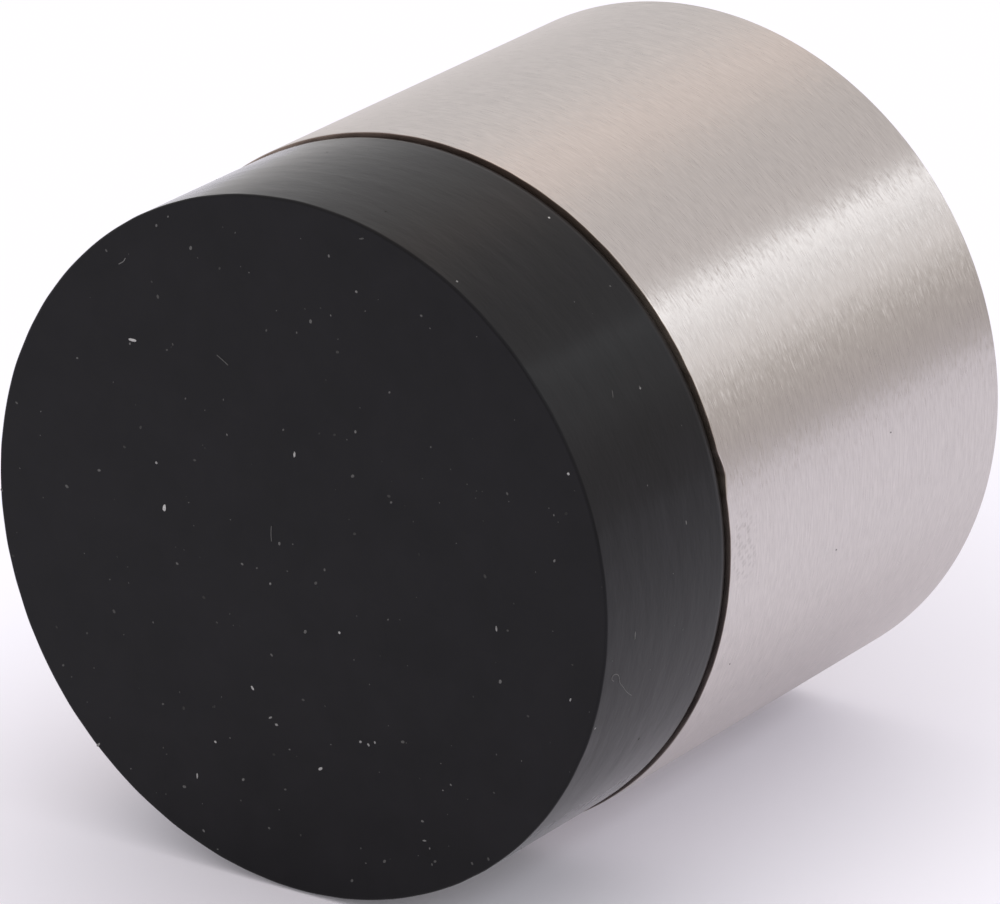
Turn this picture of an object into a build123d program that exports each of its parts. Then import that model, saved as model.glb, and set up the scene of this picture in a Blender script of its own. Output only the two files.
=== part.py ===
"""Wall door stop: a turned steel drum with a snap-in rubber buffer, held on a hidden wall boss."""
import os

from build123d import *

# Steel drum: the wall is the plane y = 0, the stop stands out along -Y and +Z is up
body_diameter = 30.0
body_length = 21.0
body_edge_break = 0.1
web_thickness = 3.0

# Rubber buffer: a head that stands proud of the drum, and a stem with a bead that snaps into it
buffer_proud = 9.0
buffer_step = 0.15
buffer_face_break = 0.1
buffer_joint_radius = 0.35
buffer_wall = 5.0
bead_setback = 1.7
bead_height = 0.9
bead_crest = 0.6
stem_tail = 1.7
stem_lead = 0.8
stem_end_gap = 0.2
stem_clearance = 0.1

# Wall boss: a plug inside the drum, held to the wall by one countersunk screw
boss_wall = 5.0
boss_clearance = 0.1
boss_end_gap = 0.5
boss_lead = 0.5
boss_back_break = 0.2
screw_hole_diameter = 5.2
screw_head_diameter = 10.4
screw_head_angle = 90.0
screw_head_sink = 0.3

# Grub screw: M4, from below through the drum, its 45 degree cone on the flanks of the boss's groove
grub_diameter = 4.0
grub_recess = 0.4
grub_tip_diameter = 0.8
grub_end_break = 0.4
grub_clearance = 0.05
socket_across_flats = 2.0
socket_depth = 2.2
groove_depth = 1.5
groove_floor_width = 0.4
tapped_hole_break = 0.3

# Sizes that follow from the ones above
body_radius = body_diameter / 2
buffer_radius = body_radius - buffer_step
pocket_radius = body_radius - buffer_wall
stem_radius = pocket_radius - stem_clearance
bead_radius = stem_radius + bead_height
bead_width = bead_crest + 2 * bead_height
stem_length = bead_setback + bead_width + stem_tail
pocket_depth = stem_length + stem_end_gap
seat_depth = body_length - pocket_depth - web_thickness
seat_radius = body_radius - boss_wall
boss_radius = seat_radius - boss_clearance
boss_length = seat_depth - boss_end_gap
grub_station = boss_length / 2
grub_radius = grub_diameter / 2
grub_tip_radius = grub_tip_diameter / 2
front_y = -body_length
face_y = front_y - buffer_proud
bead_near_y = front_y + bead_setback
bead_far_y = bead_near_y + bead_width

# Steel drum, turned from bar: a pocket with a snap groove in front, a web, the boss's seat behind
with BuildPart() as steel_body:
    with BuildSketch(Plane.XY):
        with Locations((0, front_y)):
            Rectangle(body_radius, body_length, align=Align.MIN)
            Rectangle(pocket_radius, pocket_depth, align=Align.MIN, mode=Mode.SUBTRACT)
        Rectangle(seat_radius, seat_depth, align=(Align.MIN, Align.MAX), mode=Mode.SUBTRACT)
        with BuildLine():
            Polyline(
                (pocket_radius, bead_near_y - stem_clearance),
                (bead_radius + stem_clearance, bead_near_y + bead_height - stem_clearance),
                (bead_radius + stem_clearance, bead_far_y - bead_height + stem_clearance),
                (pocket_radius, bead_far_y + stem_clearance),
                close=True,
            )
        make_face(mode=Mode.SUBTRACT)
    revolve(axis=Axis.Y)
    outer_rims = steel_body.faces().filter_by(GeomType.CYLINDER).sort_by(SortBy.RADIUS)[-1].edges()
    chamfer(outer_rims.filter_by(GeomType.CIRCLE), body_edge_break)
    seat_mouth = steel_body.faces().sort_by(Axis.Y)[-1].edges().sort_by(SortBy.RADIUS)[0]
    chamfer(seat_mouth, boss_lead)
    with Locations(Plane((0, -grub_station, -body_radius), z_dir=(0, 0, -1))):
        CounterSinkHole(
            grub_radius,
            grub_radius + tapped_hole_break,
            depth=boss_wall + grub_radius,
            counter_sink_angle=90,
        )

# Rubber buffer, moulded in one piece: flat head, stem and the bead that snaps into the drum's groove
with BuildPart() as rubber_buffer:
    with BuildSketch(Plane.XY):
        with Locations((0, face_y)):
            Rectangle(buffer_radius, buffer_proud, align=Align.MIN)
        with Locations((0, front_y)):
            Rectangle(stem_radius, stem_length, align=Align.MIN)
        with BuildLine():
            Polyline(
                (stem_radius, bead_near_y),
                (bead_radius, bead_near_y + bead_height),
                (bead_radius, bead_far_y - bead_height),
                (stem_radius, bead_far_y),
                close=True,
            )
        make_face()
    revolve(axis=Axis.Y)
    head_rims = rubber_buffer.faces().filter_by(GeomType.CYLINDER).sort_by(SortBy.RADIUS)[-1].edges()
    head_rims = head_rims.filter_by(GeomType.CIRCLE).sort_by(Axis.Y)
    chamfer(head_rims[0], buffer_face_break)
    fillet(head_rims[-1], buffer_joint_radius)
    chamfer(rubber_buffer.faces().sort_by(Axis.Y)[-1].edges(), stem_lead)

# Wall boss, turned from bar: screw hole sunk from the front, and the groove the grub screw draws on
with BuildPart() as wall_boss:
    with BuildSketch(Plane.XY):
        with Locations((0, -boss_length)):
            Rectangle(boss_radius, boss_length, align=Align.MIN)
        with BuildLine():
            Polyline(
                (boss_radius, -grub_station - groove_floor_width / 2 - groove_depth),
                (boss_radius - groove_depth, -grub_station - groove_floor_width / 2),
                (boss_radius - groove_depth, -grub_station + groove_floor_width / 2),
                (boss_radius, -grub_station + groove_floor_width / 2 + groove_depth),
                close=True,
            )
        make_face(mode=Mode.SUBTRACT)
    revolve(axis=Axis.Y)
    chamfer(wall_boss.faces().sort_by(Axis.Y)[0].edges(), boss_lead)
    chamfer(wall_boss.faces().sort_by(Axis.Y)[-1].edges(), boss_back_break)
    with Locations(Plane((0, screw_head_sink - boss_length, 0), z_dir=(0, -1, 0))):
        CounterSinkHole(
            screw_hole_diameter / 2,
            screw_head_diameter / 2,
            counter_sink_angle=screw_head_angle,
        )

# Grub screw: cone point up in the boss's groove, hexagon socket facing down
groove_floor_z = -(boss_radius - groove_depth)
flank_meet_z = groove_floor_z + groove_floor_width / 2
cone_peak_z = flank_meet_z - grub_clearance * 2 ** 0.5
grub_tip_z = cone_peak_z - grub_tip_radius
grub_end_z = grub_recess - body_radius
thread_radius = grub_radius - grub_clearance
with BuildPart() as grub_screw:
    with BuildSketch(Plane.XZ.offset(grub_station)):
        with BuildLine():
            Polyline(
                (0, grub_end_z),
                (thread_radius - grub_end_break, grub_end_z),
                (thread_radius, grub_end_z + grub_end_break),
                (thread_radius, cone_peak_z - thread_radius),
                (grub_tip_radius, grub_tip_z),
                (0, grub_tip_z),
                close=True,
            )
        make_face()
    revolve(axis=Axis((0, -grub_station, 0), (0, 0, 1)))
    with BuildSketch(Plane((0, -grub_station, grub_end_z), z_dir=(0, 0, -1))):
        RegularPolygon(socket_across_flats / 2, 6, major_radius=False)
    extrude(amount=-socket_depth, mode=Mode.SUBTRACT)

# Each physical piece goes to its own file
os.makedirs("parts", exist_ok=True)
steel_body.part.label = "steel_body"
export_step(steel_body.part, "parts/steel_body.step")
rubber_buffer.part.label = "rubber_buffer"
export_step(rubber_buffer.part, "parts/rubber_buffer.step")
wall_boss.part.label = "wall_boss"
export_step(wall_boss.part, "parts/wall_boss.step")
grub_screw.part.label = "grub_screw"
export_step(grub_screw.part, "parts/grub_screw.step")
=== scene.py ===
import math

import bmesh
import bpy
from mathutils import Matrix, Vector, noise


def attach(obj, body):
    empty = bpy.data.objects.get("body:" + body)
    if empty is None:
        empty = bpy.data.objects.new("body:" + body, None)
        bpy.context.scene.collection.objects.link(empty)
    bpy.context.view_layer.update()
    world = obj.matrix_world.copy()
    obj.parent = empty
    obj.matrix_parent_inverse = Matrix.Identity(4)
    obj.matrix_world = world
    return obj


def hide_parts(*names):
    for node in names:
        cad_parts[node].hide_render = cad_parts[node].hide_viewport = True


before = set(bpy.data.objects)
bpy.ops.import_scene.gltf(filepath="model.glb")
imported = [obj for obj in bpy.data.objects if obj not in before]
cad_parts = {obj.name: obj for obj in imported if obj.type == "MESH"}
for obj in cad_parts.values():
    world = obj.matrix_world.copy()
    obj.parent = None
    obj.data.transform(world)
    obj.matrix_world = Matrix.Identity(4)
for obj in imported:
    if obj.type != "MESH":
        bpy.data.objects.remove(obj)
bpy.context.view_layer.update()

# Wall boss: the turned aluminium plug that is screwed to the wall before the drum goes over it.
# Only its rear end shows, flush with the drum's rear rim, with the rings a facing tool leaves.
boss_radius = 0.0099
boss_feed = 0.00012
boss_ring_depth = 0.00001
boss_tone_pitch = 7000.0
boss_stain_pitch = 260.0


def feed(tree, node, inputs):
    """Gives a node's inputs their plain values, or links them to the outputs of other nodes."""
    for socket, value in inputs.items():
        if isinstance(value, bpy.types.NodeSocket):
            tree.links.new(value, node.inputs[socket])
        else:
            node.inputs[socket].default_value = value


def add(tree, kind, inputs, **settings):
    """A new node in a tree, with its settings and its inputs."""
    node = tree.nodes.new(kind)
    for name, value in settings.items():
        setattr(node, name, value)
    feed(tree, node, inputs)
    return node


def maths(tree, operation, *values):
    """The result of a piece of arithmetic on numbers."""
    return add(tree, "ShaderNodeMath", dict(enumerate(values)), operation=operation).outputs[0]


def vectors(tree, operation, *values):
    """The result of a piece of arithmetic on vectors: a number for a length, or else a vector."""
    node = add(tree, "ShaderNodeVectorMath", dict(enumerate(values)), operation=operation)
    return node.outputs["Value" if operation == "LENGTH" else "Vector"]


def ranged(tree, value, low, high, at_low=0.0, at_high=1.0, **settings):
    """A number carried from one range to another, and held at the ends."""
    inputs = {"Value": value, "From Min": low, "From Max": high, "To Min": at_low, "To Max": at_high}
    return add(tree, "ShaderNodeMapRange", inputs, **settings).outputs["Result"]


def marks(tree, place, scale, detail, roughness=0.5):
    """Soft random marks: how many there are to a unit of place, and how finely they break up."""
    inputs = {"Vector": place, "Scale": scale, "Detail": detail, "Roughness": roughness}
    return add(tree, "ShaderNodeTexNoise", inputs).outputs["Fac"]


def relief(tree, height, strength, depth, onto=None, **settings):
    """The way a surface faces when it has a fine relief, which may lie on another relief."""
    inputs = {"Strength": strength, "Distance": depth, "Height": height}
    if onto is not None:
        inputs["Normal"] = onto
    return add(tree, "ShaderNodeBump", inputs, **settings).outputs["Normal"]


def shades(tree, amount, stops):
    """A colour that changes with an amount, by pairs of place and colour in rising order."""
    node = add(tree, "ShaderNodeValToRGB", {"Fac": amount})
    elements = node.color_ramp.elements
    while len(elements) < len(stops):
        elements.new(0.5)
    for element, (place, colour) in zip(elements, stops):
        element.position = place
        element.color = (*colour, 1.0)
    return node.outputs["Color"]


def new_finish(name):
    """A new material, its tree, its main shader and the place on the piece."""
    material = bpy.data.materials.new(name)
    material.use_nodes = True
    tree = material.node_tree
    place = add(tree, "ShaderNodeTexCoord", {}).outputs["Object"]
    return material, tree, tree.nodes["Principled BSDF"], place


boss_metal, tree, shader, place = new_finish("turned_aluminium")
outward = vectors(tree, "MULTIPLY", place, (1.0, 0.0, 1.0))
radius = vectors(tree, "LENGTH", outward)
ring_wave = maths(tree, "SINE", maths(tree, "MULTIPLY", radius, 2 * math.pi / boss_feed))
ring_tone = {"W": radius, "Scale": boss_tone_pitch, "Detail": 2.0}
ring_tone = add(tree, "ShaderNodeTexNoise", ring_tone, noise_dimensions="1D").outputs["Fac"]
stain = marks(tree, place, scale=boss_stain_pitch, detail=5.0)
feed(tree, shader, {
    "Metallic": 1.0,
    "Anisotropic": 0.7,
    "Base Color": shades(tree, ring_tone, [(0.3, (0.55, 0.55, 0.56)), (0.7, (0.73, 0.73, 0.74))]),
    "Roughness": ranged(tree, stain, 0.0, 1.0, 0.30, 0.42),
    "Tangent": vectors(tree, "ADD", outward, (0.0, boss_radius, 0.0)),
    "Normal": relief(tree, ring_wave, strength=0.6, depth=boss_ring_depth),
})
bpy.data.objects["wall_boss"].data.materials[0] = boss_metal

# Steel drum: turned from stainless bar, bored at both ends and ground to a satin finish on a belt,
# so its fine grain runs round it. It slips over the wall boss and its rear rim meets the wall.
drum_radius = 0.015
drum_length = 0.021
drum_edge = 0.00005
seat_radius = 0.010
seat_depth = 0.012
seat_lead = 0.0005
pocket_radius = 0.010
pocket_depth = 0.006
groove_radius = 0.0109
groove_near = 0.0016
groove_far = 0.0042
groove_slope = 0.0009
hole_station = 0.00575
hole_radius = 0.002
hole_break = 0.0003
hole_overlap = 0.002
dent_angle = 14.0
dent_reach = 4.2
dent_depth = 0.00016
dent_fade = 0.0008
burr_depth = 0.00004
burr_pitch = 1500.0
grain_pitch = (2300.0, 36000.0, 2300.0)
grain_depth = 0.000006
streak_pitch = (1500.0, 17000.0, 1500.0)
streak_start = (3.0, 7.0, 5.0)
chatter_place = (0.0001, -0.0200, 0.0)
chatter_reach = (0.0021, 0.0012, 1.0)
chatter_dash = (0.00022, 0.00045, 1.0)
chatter_tilt = -26.0
chatter_depth = 0.00001
chatter_shade = 0.2
rim_shade_low = -0.004
drum_steps = 720
hole_steps = 96
hard_edge = math.radians(32)
beside_edge = (0.00003, 0.00008, 0.00015, 0.00025)
edge_zone = 2 * beside_edge[-1]


def corner(centre_radius, centre_y, edge_radius, start, end, count=4, stretch=1.0):
    """Points of a rounded edge in the turned section, which may be stretched along the axis."""
    points = []
    for step in range(count + 1):
        turn = math.radians(start + (end - start) * step / count)
        along = centre_y + edge_radius * stretch * math.sin(turn)
        points.append((centre_radius + edge_radius * math.cos(turn), along))
    return points


def between(first, last, count):
    """Evenly spaced points on a straight run of the section, without its two ends."""
    first, last = Vector(first), Vector(last)
    return [tuple(first.lerp(last, step / count)) for step in range(1, count)]


def turned_tree():
    """A tree that turns a section about the Y axis: the section's points are radius and place."""
    tree = bpy.data.node_groups.new("turned_form", "GeometryNodeTree")
    tree.is_modifier = True
    for name, kind in (("Section", "Geometry"), ("Steps round", "Int"), ("Finish", "Material")):
        tree.interface.new_socket(name, in_out="INPUT", socket_type="NodeSocket" + kind)
    tree.interface.new_socket("Piece", in_out="OUTPUT", socket_type="NodeSocketGeometry")
    given = add(tree, "NodeGroupInput", {}).outputs
    section, steps = given["Section"], given["Steps round"]
    count = add(tree, "GeometryNodeAttributeDomainSize", {"Geometry": section}).outputs["Point Count"]
    columns = add(tree, "FunctionNodeIntegerMath", {0: steps, 1: 1}, operation="ADD").outputs[0]
    grid = add(tree, "GeometryNodeMeshGrid", {"Vertices X": count, "Vertices Y": columns}).outputs["Mesh"]
    index = add(tree, "GeometryNodeInputIndex", {}).outputs["Index"]
    row = add(tree, "FunctionNodeIntegerMath", {0: index, 1: columns}, operation="DIVIDE_FLOOR").outputs[0]
    column = add(tree, "FunctionNodeIntegerMath", {0: index, 1: columns}, operation="MODULO").outputs[0]
    here = add(tree, "GeometryNodeInputPosition", {}).outputs["Position"]
    point = {"Geometry": section, "Value": here, "Index": row}
    point = add(tree, "GeometryNodeSampleIndex", point, data_type="FLOAT_VECTOR").outputs["Value"]
    parts = add(tree, "ShaderNodeSeparateXYZ", {"Vector": point}).outputs
    angle = maths(tree, "MULTIPLY", maths(tree, "DIVIDE", column, steps), 2 * math.pi)
    on_ring = {
        "X": maths(tree, "MULTIPLY", maths(tree, "COSINE", angle), parts["X"]),
        "Y": parts["Y"],
        "Z": maths(tree, "MULTIPLY", maths(tree, "SINE", angle), parts["X"]),
    }
    on_ring = add(tree, "ShaderNodeCombineXYZ", on_ring).outputs["Vector"]
    turned = add(tree, "GeometryNodeSetPosition", {"Geometry": grid, "Position": on_ring}).outputs["Geometry"]
    closed = {"Geometry": turned, "Distance": 1e-7}
    closed = add(tree, "GeometryNodeMergeByDistance", closed).outputs["Geometry"]
    real = add(tree, "GeometryNodeRealizeInstances", {"Geometry": closed}).outputs["Geometry"]
    piece = {"Geometry": real, "Material": given["Finish"]}
    piece = add(tree, "GeometryNodeSetMaterial", piece).outputs["Geometry"]
    add(tree, "NodeGroupOutput", {"Piece": piece})
    return tree


def set_inputs(modifier, values):
    """Sets a modifier's inputs by the identifiers of the tree's sockets of these names."""
    for socket in modifier.node_group.interface.items_tree:
        if socket.name in values:
            modifier[socket.identifier] = values[socket.name]


def settle(piece):
    """Turns what a piece's modifiers make into its plain mesh, smooth apart from its hard edges."""
    evaluated = piece.evaluated_get(bpy.context.evaluated_depsgraph_get())
    mesh = bpy.data.meshes.new_from_object(evaluated)
    piece.modifiers.clear()
    piece.data = mesh
    shell = bmesh.new()
    shell.from_mesh(mesh)
    bmesh.ops.recalc_face_normals(shell, faces=shell.faces)
    shell.to_mesh(mesh)
    shell.free()
    mesh.shade_smooth()
    mesh.set_sharp_from_angle(angle=hard_edge)


def new_piece(name, mesh):
    """A piece of the object with its mesh, at the origin."""
    piece = bpy.data.objects.new(name, mesh)
    bpy.context.scene.collection.objects.link(piece)
    return piece


def turned_piece(name, section, steps, finish):
    """A piece turned from its section, given as points of radius and place along the axis."""
    mesh = bpy.data.meshes.new(name)
    points = [(radius, along, 0.0) for radius, along in section]
    mesh.from_pydata(points, [(step, step + 1) for step in range(len(points) - 1)], [])
    piece = new_piece(name, mesh)
    turning = piece.modifiers.new("turning", "NODES")
    turning.node_group = bpy.data.node_groups.get("turned_form") or turned_tree()
    set_inputs(turning, {"Steps round": steps, "Finish": finish})
    settle(piece)
    return piece


def stretched(tree, place, pitch, start=(0.0, 0.0, 0.0)):
    """The place on a piece, scaled by its own pitch along each axis."""
    inputs = {"Vector": place, "Location": start, "Scale": pitch}
    return add(tree, "ShaderNodeMapping", inputs).outputs["Vector"]


def blend(tree, amount, first, second):
    """A colour between two others."""
    return add(tree, "ShaderNodeMix", {0: amount, 6: first, 7: second}, data_type="RGBA").outputs[2]


def bump_share(angle, middle, reach):
    """How far a smooth swelling has risen, from 0 to 1, at an angle round the axis in degrees."""
    away = min(1.0, abs(angle - middle) / reach)
    return 0.5 + 0.5 * math.cos(math.pi * away)


# The lines of the grinding run round the drum, on its side and on its end faces.
drum_steel, tree, shader, place = new_finish("ground_stainless")
parts = add(tree, "ShaderNodeSeparateXYZ", {"Vector": place}).outputs
outward = vectors(tree, "MULTIPLY", place, (1.0, 0.0, 1.0))
across = maths(tree, "ADD", vectors(tree, "LENGTH", outward), parts["Y"])
across = add(tree, "ShaderNodeCombineXYZ", {"Y": across}).outputs["Vector"]
on_ring = vectors(tree, "NORMALIZE", outward)
round_lay = vectors(tree, "MULTIPLY_ADD", on_ring, (drum_radius, 0.0, drum_radius), across)
grain = marks(tree, stretched(tree, round_lay, grain_pitch), scale=1.0, detail=3.0)
streak = marks(tree, stretched(tree, round_lay, streak_pitch, streak_start), scale=1.0, detail=3.0)

# The raised lines lean the surface a little to one side, except on the end faces.
surface = add(tree, "ShaderNodeNewGeometry", {}).outputs["Normal"]
facing = add(tree, "ShaderNodeSeparateXYZ", {"Vector": surface}).outputs["Y"]
end_face = maths(tree, "MULTIPLY", facing, facing)
around = vectors(tree, "CROSS_PRODUCT", place, (0.0, 1 / drum_radius, 0.0))
lean = ranged(tree, grain, 0.50, 0.68, 0.0, 0.10)
lean = add(tree, "ShaderNodeMix", {"Factor": end_face, "A": lean, "B": 0.0}).outputs["Result"]
leaning = add(tree, "ShaderNodeVectorMath", {0: around, "Scale": lean}, operation="SCALE").outputs["Vector"]
outside = {"vector_type": "VECTOR", "convert_from": "OBJECT", "convert_to": "WORLD"}
leaning = add(tree, "ShaderNodeVectorTransform", {"Vector": leaning}, **outside).outputs["Vector"]
facet = vectors(tree, "NORMALIZE", vectors(tree, "ADD", surface, leaning))

# A small patch of slanting chatter marks lies behind the front edge on the right.
arc = maths(tree, "MULTIPLY", maths(tree, "ARCTAN2", parts["Z"], parts["X"]), drum_radius)
unrolled = add(tree, "ShaderNodeCombineXYZ", {"X": arc, "Y": parts["Y"]}).outputs["Vector"]
patch = {"Vector": unrolled, "Location": chatter_place, "Scale": chatter_reach}
patch = add(tree, "ShaderNodeMapping", patch, vector_type="TEXTURE").outputs["Vector"]
patch = ranged(tree, vectors(tree, "LENGTH", patch), 0.5, 1.0, 1.0, 0.0)
dashes = {"Vector": unrolled, "Rotation": (0.0, 0.0, math.radians(chatter_tilt)), "Scale": chatter_dash}
dashes = add(tree, "ShaderNodeMapping", dashes, vector_type="TEXTURE").outputs["Vector"]
dashes = {"Vector": dashes, "Scale": 1.0, "Randomness": 0.6}
dashes = add(tree, "ShaderNodeTexVoronoi", dashes, voronoi_dimensions="2D").outputs["Distance"]
chatter = maths(tree, "MULTIPLY", patch, ranged(tree, dashes, 0.15, 0.40, 1.0, 0.0))

# Grime and painted shade darken the front rim where it meets the rubber, least of all above the middle.
rim_face = ranged(tree, facing, -0.95, -0.6, 1.0, 0.0)
rim_grime_and_shade = ranged(tree, parts["Z"], rim_shade_low, drum_radius)
rim_grime_and_shade_colours = [(0.0, (0.17, 0.14, 0.13)), (0.72, (0.44, 0.36, 0.30)), (1.0, (0.19, 0.14, 0.12))]
steel_tint = shades(tree, streak, [(0.3, (0.555, 0.519, 0.503)), (0.7, (0.695, 0.651, 0.631))])
marked = maths(tree, "MULTIPLY", chatter, chatter_shade)
steel_tint = blend(tree, marked, steel_tint, (0.2, 0.19, 0.18, 1.0))
# The rim's dark tint is mostly painted shade at the joint, darker low down and at the top.
steel_tint = blend(tree, rim_face, steel_tint, shades(tree, rim_grime_and_shade, rim_grime_and_shade_colours))
steel_dull = ranged(tree, streak, 0.3, 0.7, 0.27, 0.35)
steel_dull = add(tree, "ShaderNodeMix", {"Factor": rim_face, "A": steel_dull, "B": 0.25}).outputs["Result"]
grained = relief(tree, grain, strength=0.1, depth=grain_depth, onto=facet)
feed(tree, shader, {
    "Metallic": 1.0,
    "Anisotropic": 1.0,
    "Base Color": steel_tint,
    "Roughness": steel_dull,
    "Tangent": vectors(tree, "ADD", outward, (0.0, drum_radius, 0.0)),
    "Normal": relief(tree, chatter, strength=0.5, depth=chatter_depth, onto=grained, invert=True),
})

front = -drum_length
rim = drum_radius - drum_edge
drum_section = [(0.0, -seat_depth), (seat_radius, -seat_depth)]
drum_section += [(seat_radius, -seat_lead), (seat_radius + seat_lead, 0.0)]
drum_section += [(rim - step, 0.0) for step in reversed(beside_edge)]
drum_section += corner(rim, -drum_edge, drum_edge, 90, 0)
drum_section += [(drum_radius, -drum_edge - step) for step in beside_edge]
drum_section += between((drum_radius, 0.0), (drum_radius, front), count=14)
drum_section += [(drum_radius, front + drum_edge + step) for step in reversed(beside_edge)]
drum_section += corner(rim, front + drum_edge, drum_edge, 0, -90)
drum_section += [(rim - step, front) for step in beside_edge]
drum_section += [(pocket_radius, front), (pocket_radius, front + groove_near)]
drum_section += [(groove_radius, front + groove_near + groove_slope)]
drum_section += [(groove_radius, front + groove_far - groove_slope), (pocket_radius, front + groove_far)]
drum_section += [(pocket_radius, front + pocket_depth), (0.0, front + pocket_depth)]
drum = turned_piece("drum", drum_section, drum_steps, drum_steel)

# The drum's tapped hole for the grub screw goes in from below, with a small sink at its mouth.
# The front edge is a little ragged, and a knock has pressed it back for a millimetre or two on the right.
hole_top = hole_overlap - seat_radius
hole_mouth = -drum_radius - hole_break
hole_section = [(0.0, hole_top), (hole_radius, hole_top), (hole_radius, hole_break - drum_radius)]
hole_section += [(hole_radius + 2 * hole_break, hole_mouth), (0.0, hole_mouth)]
hole_cutter = turned_piece("hole_cutter", hole_section, hole_steps, drum_steel)
upright = Matrix.Rotation(math.pi / 2, 4, "X")
hole_cutter.data.transform(Matrix.Translation((0.0, -hole_station, 0.0)) @ upright)
tapping = drum.modifiers.new("tapping", "BOOLEAN")
tapping.operation = "DIFFERENCE"
tapping.solver = "EXACT"
tapping.object = hole_cutter
settle(drum)
bpy.data.objects.remove(hole_cutter)
for vertex in drum.data.vertices:
    x, y, z = vertex.co
    if math.hypot(x, z) > rim - edge_zone:
        pressed = dent_depth * bump_share(math.degrees(math.atan2(z, x)), dent_angle, dent_reach)
        pressed += burr_depth * (0.5 + 0.5 * noise.noise(Vector((x, 0.0, z)) * burr_pitch))
        vertex.co.y = y + pressed * max(0.0, 1 - (y - front) / dent_fade)
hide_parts("steel_body")
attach(drum, "root")

# Grub screw: a plain stainless screw with a hexagon socket, turned in from below until its cone
# draws on the boss's groove. Its end stays just inside the drum's tapped hole.
screw_speckle_pitch = 2600.0
screw_skin_depth = 0.00001
screw_metal, tree, shader, place = new_finish("screw_stainless")
speckle = marks(tree, place, scale=screw_speckle_pitch, detail=4.0)
feed(tree, shader, {
    "Metallic": 1.0,
    "Base Color": shades(tree, speckle, [(0.3, (0.30, 0.29, 0.28)), (0.7, (0.46, 0.45, 0.43))]),
    "Roughness": ranged(tree, speckle, 0.0, 1.0, 0.25, 0.50),
    "Normal": relief(tree, speckle, strength=0.15, depth=screw_skin_depth),
})
bpy.data.objects["grub_screw"].data.materials[0] = screw_metal

# Rubber buffer: moulded black rubber, pressed into the front of the drum until its bead snaps home.
# Its front edge is crisp but a little uneven. The edge beside the drum is rounded, and rubbed back
# further at the upper right, and leaves a narrow dark gap.
buffer_radius = 0.0149
buffer_proud = 0.009
buffer_face_edge = 0.0001
ragged_depth = 0.00002
ragged_pitch = 900.0
ragged_fade = 0.0005
joint_edge = 0.0003
joint_stretch = 2.0
rubbed_angle = 52.0
rubbed_reach = 45.0
rubbed_depth = 0.00006
stem_radius = 0.0099
stem_length = 0.0058
stem_lead = 0.0008
bead_radius = 0.0108
bead_near = 0.0017
bead_far = 0.0041
bead_slope = 0.0009
dust_room = 0.000025
skin_pitch = (3000.0, 6000.0, 3000.0)
skin_depth = 0.00001
scuff_pitch = (330.0, 900.0, 330.0)
scuff_depth = 0.00004
bloom_pitch = 420.0
buffer_steps = 384

rubber, tree, shader, place = new_finish("moulded_rubber")
bloom = marks(tree, place, scale=bloom_pitch, detail=6.0, roughness=0.62)
skin = marks(tree, stretched(tree, place, skin_pitch), scale=1.0, detail=4.0)
skin = relief(tree, skin, strength=0.3, depth=skin_depth)
scuffs = marks(tree, stretched(tree, place, scuff_pitch), scale=1.0, detail=3.0)
scuffs = relief(tree, scuffs, strength=0.6, depth=scuff_depth, onto=skin)
feed(tree, shader, {
    "Specular IOR Level": 0.12,
    "Sheen Weight": 0.02,
    "Sheen Roughness": 0.3,
    "Coat Weight": 1.0,
    "Coat IOR": 1.115,
    "Coat Roughness": 0.15,
    "Base Color": shades(tree, bloom, [(0.3, (0.0043, 0.0042, 0.0053)), (0.75, (0.0078, 0.0074, 0.0092))]),
    "Roughness": ranged(tree, bloom, 0.0, 1.0, 0.38, 0.50),
    "Normal": scuffs,
    "Coat Normal": scuffs,
})

face = front - buffer_proud + dust_room
face_rim = buffer_radius - buffer_face_edge
joint_rim = buffer_radius - joint_edge
joint_start = front - joint_edge * joint_stretch
bead_rise = front + bead_near + bead_slope
bead_fall = front + bead_far - bead_slope
buffer_section = [(0.0, face)]
buffer_section += between((0.0, face), (face_rim, face), count=8)
buffer_section += [(face_rim - step, face) for step in reversed(beside_edge)]
buffer_section += corner(face_rim, face + buffer_face_edge, buffer_face_edge, -90, 0)
buffer_section += [(buffer_radius, face + buffer_face_edge + step) for step in beside_edge]
buffer_section += between((buffer_radius, face), (buffer_radius, joint_start), count=10)
buffer_section += [(buffer_radius, joint_start - step) for step in reversed(beside_edge)]
buffer_section += corner(joint_rim, joint_start, joint_edge, 0, 90, count=10, stretch=joint_stretch)
buffer_section += [(joint_rim - step, front) for step in beside_edge]
buffer_section += [(stem_radius, front), (stem_radius, front + bead_near)]
buffer_section += [(bead_radius, bead_rise), (bead_radius, bead_fall)]
buffer_section += [(stem_radius, front + bead_far), (stem_radius, front + stem_length - stem_lead)]
buffer_section += [(stem_radius - stem_lead, front + stem_length), (0.0, front + stem_length)]
buffer = turned_piece("buffer", buffer_section, buffer_steps, rubber)

# The front edge wavers a little, and wear has taken some rubber off the edge at the joint.
for vertex in buffer.data.vertices:
    x, y, z = vertex.co
    out = math.hypot(x, z)
    if out > joint_rim - edge_zone:
        rubbed = rubbed_depth * bump_share(math.degrees(math.atan2(z, x)), rubbed_angle, rubbed_reach)
        shift = -rubbed * max(0.0, (y - joint_start) / (front - joint_start))
        from_edge = y - face + max(0.0, face_rim - out)
        ragged = ragged_depth * noise.noise(Vector((x, 0.0, z)) * ragged_pitch)
        shift += ragged * max(0.0, 1 - from_edge / ragged_fade)
        vertex.co.x = x * (1 + shift / out)
        vertex.co.z = z * (1 + shift / out)
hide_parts("rubber_buffer")
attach(buffer, "root")

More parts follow.
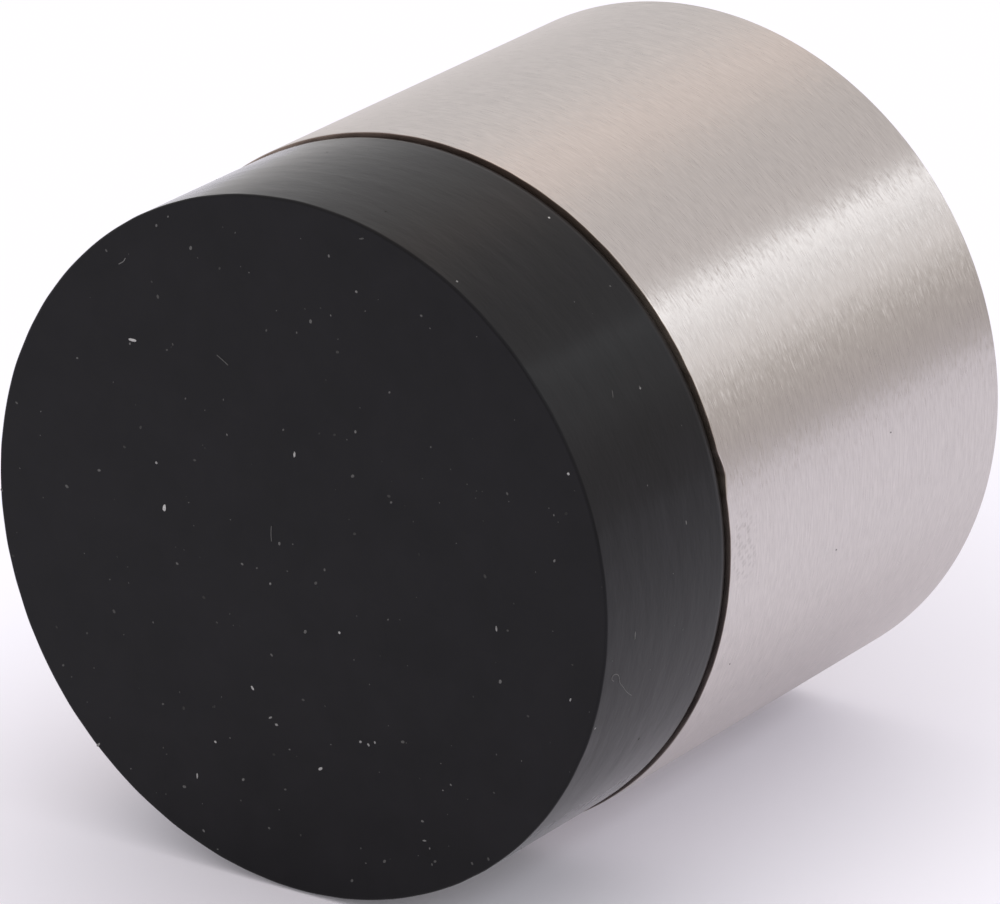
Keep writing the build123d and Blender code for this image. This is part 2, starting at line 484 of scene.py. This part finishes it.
# Dust and lint: pale grains and short textile fibres that cling to the rubber, and a few dark specks
# on the steel. The larger grains and the fibres are placed singly; finer dust covers the rubber.
front_facing = -0.9
side_facing = 0.2
dust_height = 0.000012
dust_narrowness = 0.7
dust_fineness = 3.0
dust_smallest = 0.28
dust_palest = 0.13
dust_darkest = 0.025
clump_pitch = 22000.0
grain_lumps = 1.7
grain_unevenness = 0.3
grain_variety = 5000.0
fibre_radius = 0.000022
settled_dust = {
    "On the face": 2.9e5,
    "On the side": 6.0e4,
    "Front of the drum": joint_start,
    "Grain": 0.00011,
    "Grain height": dust_height,
    "Seed": 11,
}
# A grain on the face has its x and z, length and width in millimetres, turn in degrees, and paleness.
face_grains = [
    (-8.00, 7.41, 0.42, 0.13, 0, 0.44),
    (-6.53, 0.46, 0.30, 0.17, 80, 0.46),
    (-0.04, 4.14, 0.25, 0.10, 85, 0.36),
    (-2.24, -6.45, 0.22, 0.11, 130, 0.36),
    (1.10, -9.23, 0.24, 0.13, 40, 0.36),
    (9.69, -1.18, 0.25, 0.08, 95, 0.24),
    (13.08, 6.12, 0.14, 0.12, 0, 0.34),
    (13.21, -3.41, 0.16, 0.07, 70, 0.26),
    (3.03, 11.68, 0.12, 0.11, 0, 0.16),
    (6.14, 11.30, 0.12, 0.11, 0, 0.10),
    (2.09, -3.06, 0.12, 0.11, 0, 0.34),
    (-1.29, -1.69, 0.13, 0.10, 60, 0.17),
    (-6.90, 2.34, 0.12, 0.11, 0, 0.28),
    (-4.13, -9.27, 0.13, 0.11, 0, 0.30),
    (-5.07, -11.00, 0.26, 0.08, 88, 0.30),
    (-10.10, -10.80, 0.24, 0.10, 45, 0.22),
    (6.20, -11.17, 0.20, 0.07, 10, 0.17),
    (12.44, 2.32, 0.15, 0.09, 70, 0.14),
    (3.29, 13.95, 0.24, 0.07, 15, 0.08),
    (-1.36, -7.56, 0.20, 0.09, 30, 0.20),
    (-1.06, -7.80, 0.15, 0.11, 0, 0.24),
    (3.09, -7.58, 0.14, 0.11, 20, 0.24),
    (3.48, -7.62, 0.15, 0.10, 120, 0.24),
    (3.80, -7.45, 0.13, 0.10, 100, 0.20),
]
# On a round side, the first two are the angle in degrees and the place along the axis in millimetres.
side_grains = [
    (-3.9, -27.86, 0.40, 0.08, 90, 0.12),
    (31.7, -24.20, 0.11, 0.10, 0, 0.22),
    (32.9, -25.95, 0.34, 0.05, 60, 0.10),
    (62.5, -22.00, 0.12, 0.10, 0, 0.45),
    (9.5, -23.90, 0.18, 0.07, 90, 0.14),
    (59.7, -29.50, 0.12, 0.10, 0, 0.24),
    (-17.6, -29.70, 0.12, 0.10, 0, 0.24),
]
steel_specks = [
    (-20.5, -19.5, 0.09, 0.07, 0, 0.02),
    (5.9, -8.6, 0.08, 0.07, 0, 0.03),
    (-9.1, -12.6, 0.08, 0.07, 0, 0.03),
]
# A fibre has the spots that it runs through, and its paleness.
face_fibres = [
    ([(-3.80, 7.62), (-3.50, 7.47), (-3.25, 7.30)], 0.10),
    ([(-1.20, 0.83), (-1.25, 0.50), (-1.20, 0.17)], 0.10),
    ([(-8.61, 10.55), (-8.49, 10.62), (-8.34, 10.74), (-8.28, 10.87)], 0.15),
]
side_fibre = [(-10.0, -29.1), (-9.5, -29.3), (-8.9, -29.3), (-8.7, -29.1), (-9.3, -28.8), (-10.1, -28.7)]
side_fibre += [(-11.0, -28.6), (-12.0, -28.3), (-13.2, -28.0), (-14.1, -27.7), (-14.9, -27.4)]
side_fibre_pale = 0.13


def dust_tree():
    """A tree that lets fine grains settle on the face and the side of the rubber."""
    tree = bpy.data.node_groups.new("settled_dust", "GeometryNodeTree")
    tree.is_modifier = True
    tree.interface.new_socket("Rubber", in_out="INPUT", socket_type="NodeSocketGeometry")
    for name in ("On the face", "On the side", "Front of the drum", "Grain", "Grain height"):
        tree.interface.new_socket(name, in_out="INPUT", socket_type="NodeSocketFloat")
    tree.interface.new_socket("Seed", in_out="INPUT", socket_type="NodeSocketInt")
    tree.interface.new_socket("Finish", in_out="INPUT", socket_type="NodeSocketMaterial")
    tree.interface.new_socket("Dust", in_out="OUTPUT", socket_type="NodeSocketGeometry")
    given = add(tree, "NodeGroupInput", {}).outputs
    normal = add(tree, "GeometryNodeInputNormal", {}).outputs["Normal"]
    facing = add(tree, "ShaderNodeSeparateXYZ", {"Vector": normal}).outputs["Y"]
    here = add(tree, "GeometryNodeInputPosition", {}).outputs["Position"]
    along = add(tree, "ShaderNodeSeparateXYZ", {"Vector": here}).outputs["Y"]
    frontal = maths(tree, "LESS_THAN", facing, front_facing)
    lateral = maths(tree, "COMPARE", facing, 0.0, side_facing)
    ahead = maths(tree, "LESS_THAN", along, given["Front of the drum"])
    on_face = maths(tree, "MULTIPLY", frontal, given["On the face"])
    on_side = maths(tree, "MULTIPLY", lateral, ahead)
    density = maths(tree, "MULTIPLY_ADD", on_side, given["On the side"], on_face)
    spots = {"Mesh": given["Rubber"], "Density": density, "Seed": given["Seed"]}
    spots = add(tree, "GeometryNodeDistributePointsOnFaces", spots).outputs
    chance = add(tree, "FunctionNodeRandomValue", {"Seed": given["Seed"]}).outputs[1]
    share = ranged(tree, maths(tree, "POWER", chance, dust_fineness), 0.0, 1.0, dust_smallest, 1.0)
    reach = maths(tree, "MULTIPLY", share, given["Grain"])
    size = {"X": reach, "Y": maths(tree, "MULTIPLY", reach, dust_narrowness), "Z": given["Grain height"]}
    size = add(tree, "ShaderNodeCombineXYZ", size).outputs["Vector"]
    grain = add(tree, "GeometryNodeMeshIcoSphere", {"Radius": 1.0, "Subdivisions": 1}).outputs["Mesh"]
    grains = {"Points": spots["Points"], "Instance": grain, "Rotation": spots["Rotation"], "Scale": size}
    grains = add(tree, "GeometryNodeInstanceOnPoints", grains).outputs["Instances"]
    turn = add(tree, "FunctionNodeRandomValue", {2: 0.0, 3: 2 * math.pi, "Seed": 3}).outputs[1]
    turn = add(tree, "ShaderNodeCombineXYZ", {"Z": turn}).outputs["Vector"]
    grains = {"Instances": grains, "Rotation": turn}
    grains = add(tree, "GeometryNodeRotateInstances", grains).outputs["Instances"]
    pale = add(tree, "FunctionNodeRandomValue", {2: dust_darkest, 3: dust_palest, "Seed": 5}).outputs[1]
    grains = {"Geometry": grains, "Name": "pale", "Value": pale}
    grains = add(tree, "GeometryNodeStoreNamedAttribute", grains, domain="INSTANCE").outputs["Geometry"]
    real = add(tree, "GeometryNodeRealizeInstances", {"Geometry": grains}).outputs["Geometry"]
    dust = {"Geometry": real, "Material": given["Finish"]}
    add(tree, "NodeGroupOutput", {"Dust": add(tree, "GeometryNodeSetMaterial", dust).outputs["Geometry"]})
    return tree


def on_face(x, z):
    """A spot on the rubber's face, from millimetres, with the way out and the way along x."""
    return Vector((x / 1000, face, z / 1000)), Vector((0.0, -1.0, 0.0)), Vector((1.0, 0.0, 0.0))


def on_side(radius, degrees, along):
    """A spot on a round side, from degrees and millimetres, with the way out and the way along the axis."""
    turn = math.radians(degrees)
    out = Vector((math.cos(turn), 0.0, math.sin(turn)))
    return Vector((radius * out.x, along / 1000, radius * out.z)), out, Vector((0.0, 1.0, 0.0))


def add_grain(shell, spot, length, width, turn, pale):
    """Adds one flat uneven grain to a shell, turned on the surface that it lies on."""
    centre, out, first = spot
    long = Matrix.Rotation(math.radians(turn), 3, out) @ first
    sides = (long * length / 2000, out.cross(long) * width / 2000, out * dust_height)
    shape = Matrix(sides).transposed().to_4x4()
    made = bmesh.ops.create_icosphere(shell, subdivisions=2, radius=1.0)["verts"]
    for vertex in made:
        lump = noise.noise(vertex.co * grain_lumps + centre * grain_variety)
        vertex.co = vertex.co * (1 + grain_unevenness * lump)
        vertex.co = centre + shape @ vertex.co
        vertex[shell.verts.layers.float["pale"]] = pale


def add_fibre(shell, spots, pale):
    """Adds one fibre to a shell, as a smooth round thread through its spots."""
    line = bpy.data.curves.new("fibre", "CURVE")
    line.dimensions = "3D"
    line.bevel_depth = fibre_radius
    line.bevel_resolution = 1
    line.use_fill_caps = True
    spline = line.splines.new("NURBS")
    spline.points.add(len(spots) - 1)
    for point, (centre, *_) in zip(spline.points, spots):
        point.co = (*centre, 1.0)
    spline.order_u = 3
    spline.use_endpoint_u = True
    thread = bpy.data.objects.new("fibre", line)
    bpy.context.scene.collection.objects.link(thread)
    evaluated = thread.evaluated_get(bpy.context.evaluated_depsgraph_get())
    mesh = bpy.data.meshes.new_from_object(evaluated)
    before = len(shell.verts)
    shell.from_mesh(mesh)
    shell.verts.ensure_lookup_table()
    for vertex in shell.verts[before:]:
        vertex[shell.verts.layers.float["pale"]] = pale
    bpy.data.objects.remove(thread)


dust_finish, tree, shader, place = new_finish("pale_dust")
pale = add(tree, "ShaderNodeAttribute", {}, attribute_name="pale").outputs["Fac"]
clumps = marks(tree, place, scale=clump_pitch, detail=3.0)
clumps = ranged(tree, clumps, 0.0, 1.0, 0.6, 1.4)
grey = maths(tree, "MULTIPLY", pale, clumps)
dust_tint = add(tree, "ShaderNodeCombineColor", {"Red": grey, "Green": grey, "Blue": grey}).outputs["Color"]
feed(tree, shader, {"Base Color": dust_tint, "Roughness": 0.9, "Specular IOR Level": 0.2})

dust = new_piece("dust", buffer.data.copy())
settling = dust.modifiers.new("settling", "NODES")
settling.node_group = dust_tree()
set_inputs(settling, {**settled_dust, "Finish": dust_finish})
settle(dust)
shell = bmesh.new()
shell.from_mesh(dust.data)
for x, z, *grain in face_grains:
    add_grain(shell, on_face(x, z), *grain)
for degrees, along, *grain in side_grains:
    add_grain(shell, on_side(buffer_radius, degrees, along), *grain)
for degrees, along, *grain in steel_specks:
    add_grain(shell, on_side(drum_radius, degrees, along), *grain)
for points, pale in face_fibres:
    add_fibre(shell, [on_face(*point) for point in points], pale)
add_fibre(shell, [on_side(buffer_radius, *point) for point in side_fibre], side_fibre_pale)
for polygon in shell.faces:
    polygon.material_index = 0
shell.to_mesh(dust.data)
shell.free()
dust.data.materials.clear()
dust.data.materials.append(dust_finish)
dust.data.shade_smooth()
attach(dust, "root")

# Floor, light and camera: a pale sheet that the stop lies on, inside a bright tent of soft light
# that is strongest halfway up on the right, and a long lens about a third of a metre away.
floor_radius = 0.32
floor_centre = (0.0, -0.015, -drum_radius)
painted_shadow_shape = (1.0, 0.6, 0.0)
painted_shadow_offset = (0.0, -0.0006, 0.0)
painted_shadow_inner = 0.009
painted_shadow_outer = 0.033
aim = Vector((-0.00003, -0.01521, -0.00040))
azimuth = math.radians(33.826)
elevation = math.radians(20.810)
distance = 0.34475

bpy.ops.mesh.primitive_circle_add(vertices=96, radius=floor_radius, fill_type="NGON", location=floor_centre)
floor = bpy.context.object
floor.name = "floor"
floor_paint, tree, shader, place = new_finish("white_sheet")
feed(tree, shader, {"Base Color": (0.89, 0.87, 0.95, 1.0), "Roughness": 0.9, "Specular IOR Level": 0.1})
# The sheet's white glow fades in an ellipse round the stop: a painted shadow, on top of the real shadow in
# its diffuse part.
reach = vectors(tree, "LENGTH", vectors(tree, "MULTIPLY_ADD", place, painted_shadow_shape, painted_shadow_offset))
glow_outside_painted_shadow = ranged(tree, reach, painted_shadow_inner, painted_shadow_outer, 0.09, 0.85, interpolation_type="SMOOTHSTEP")
path = add(tree, "ShaderNodeLightPath", {}).outputs
seen = maths(tree, "MAXIMUM", path["Is Camera Ray"], path["Is Glossy Ray"])
seen = maths(tree, "MAXIMUM", seen, path["Is Transmission Ray"])
lit = maths(tree, "MULTIPLY", seen, glow_outside_painted_shadow)
white = add(tree, "ShaderNodeEmission", {"Color": (0.99, 0.965, 1.04, 1.0), "Strength": 1.06})
sheet = add(tree, "ShaderNodeMixShader", {0: lit, 1: shader.outputs[0], 2: white.outputs[0]})
feed(tree, tree.nodes["Material Output"], {"Surface": sheet.outputs[0]})
floor.data.materials.append(floor_paint)

# The tent's light goes by the angle up from the right, in degrees. Its two end walls are plain.
tent_stops = [
    (-180, (0.98, 0.95, 0.95)),
    (-10, (0.61, 0.57, 0.56)),
    (4, (0.61, 0.57, 0.56)),
    (15, (0.70, 0.66, 0.63)),
    (21, (0.83, 0.80, 0.77)),
    (28, (1.21, 1.19, 1.18)),
    (36, (1.23, 1.23, 1.23)),
    (42, (1.40, 1.42, 1.44)),
    (46.5, (1.98, 2.04, 2.08)),
    (49, (1.98, 2.04, 2.08)),
    (52, (0.87, 0.84, 0.83)),
    (73, (0.85, 0.82, 0.81)),
    (88, (0.88, 0.85, 0.83)),
    (96, (1.03, 0.94, 0.89)),
    (103, (1.18, 1.04, 0.96)),
    (112, (1.06, 0.99, 0.95)),
    (120, (0.99, 0.96, 0.94)),
    (134, (0.90, 0.88, 0.88)),
    (150, (0.87, 0.86, 0.86)),
    (164, (0.90, 0.88, 0.88)),
    (180, (0.98, 0.95, 0.95)),
]
tent = bpy.data.worlds.new("tent")
bpy.context.scene.world = tent
tent.use_nodes = True
tree = tent.node_tree
toward = add(tree, "ShaderNodeTexCoord", {}).outputs["Generated"]
split = add(tree, "ShaderNodeSeparateXYZ", {"Vector": toward}).outputs
turn_share = ranged(tree, maths(tree, "ARCTAN2", split["Z"], split["X"]), -math.pi, math.pi)
tent_light = shades(tree, turn_share, [((degrees + 180) / 360, colour) for degrees, colour in tent_stops])
end_wall = maths(tree, "ABSOLUTE", split["Y"])
end_wall = ranged(tree, end_wall, 0.82, 0.97, interpolation_type="SMOOTHSTEP")
tent_light = blend(tree, end_wall, tent_light, (0.60, 0.58, 0.58, 1.0))
feed(tree, tree.nodes["Background"], {"Color": tent_light})

camera_data = bpy.data.cameras.new("camera")
camera = bpy.data.objects.new("camera", camera_data)
bpy.context.scene.collection.objects.link(camera)
camera_data.sensor_width = 36.0
camera_data.lens = 298.41
camera_data.clip_start = 0.01
level = math.cos(elevation)
away = Vector((math.sin(azimuth) * level, -math.cos(azimuth) * level, math.sin(elevation)))
camera.location = aim + distance * away
camera.rotation_euler = away.to_track_quat("Z", "Y").to_euler()
bpy.context.scene.camera = camera
bpy.context.scene.view_settings.view_transform = "Standard"
